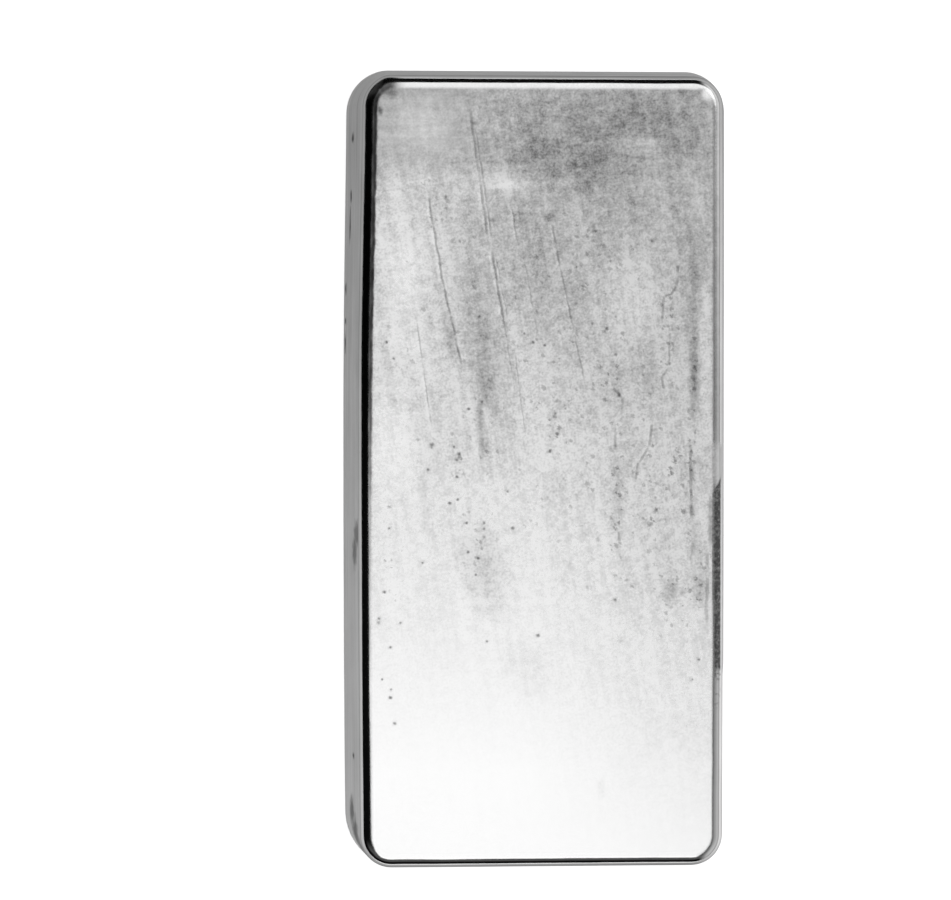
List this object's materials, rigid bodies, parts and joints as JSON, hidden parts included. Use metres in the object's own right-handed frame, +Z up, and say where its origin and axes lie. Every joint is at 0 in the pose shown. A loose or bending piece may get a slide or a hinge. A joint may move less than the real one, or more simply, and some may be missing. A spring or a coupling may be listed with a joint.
{
  "type": "silver bar",
  "caption": "Flat rectangular silver bar cast in an open mould, with leaning walls, rounded edges and a plain scratched face; raw stock to melt, stack or store.",
  "frame": {"origin": "middle of the bar's footprint, on the surface that it lies on", "axes": "+Z up through the mould face, +Y along the length, +X across the width"},
  "size_m": [0.0536, 0.1118, 0.017],
  "materials": {
    "silver": null
  },
  "bodies": {
    "root": {"silver_bar": "silver"}
  },
  "joints": []
}
